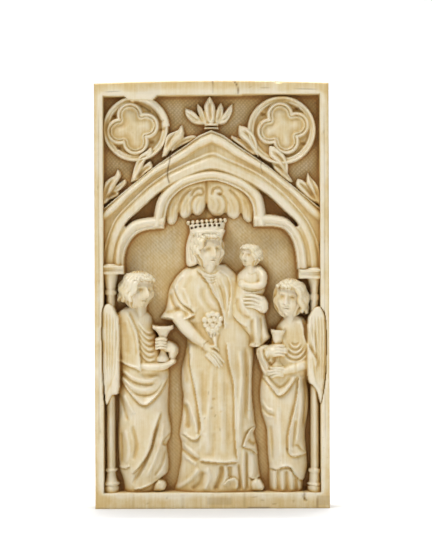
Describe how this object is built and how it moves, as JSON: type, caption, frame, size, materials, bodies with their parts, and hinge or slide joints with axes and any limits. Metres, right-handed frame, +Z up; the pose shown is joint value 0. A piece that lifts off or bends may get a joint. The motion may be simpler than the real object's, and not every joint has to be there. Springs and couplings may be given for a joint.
{
  "type": "carved ivory relief plaque",
  "caption": "Upright ivory relief plaque: a crowned woman with a child and winged attendants under a cusped arch and a leafy gable, in a plain raised border.",
  "frame": {"origin": "middle of the underside of the slab, on the surface it stands on", "axes": "+Z up along the height of the plaque, -Y out of the carved face, +X to the viewer's right, +Y towards the plain back"},
  "size_m": [0.074, 0.013, 0.135],
  "materials": {
    "ivory": "aged ivory, softly polished on the high parts, browner and duller in the hollows"
  },
  "bodies": {
    "root": {"plaque": "ivory"}
  },
  "joints": []
}
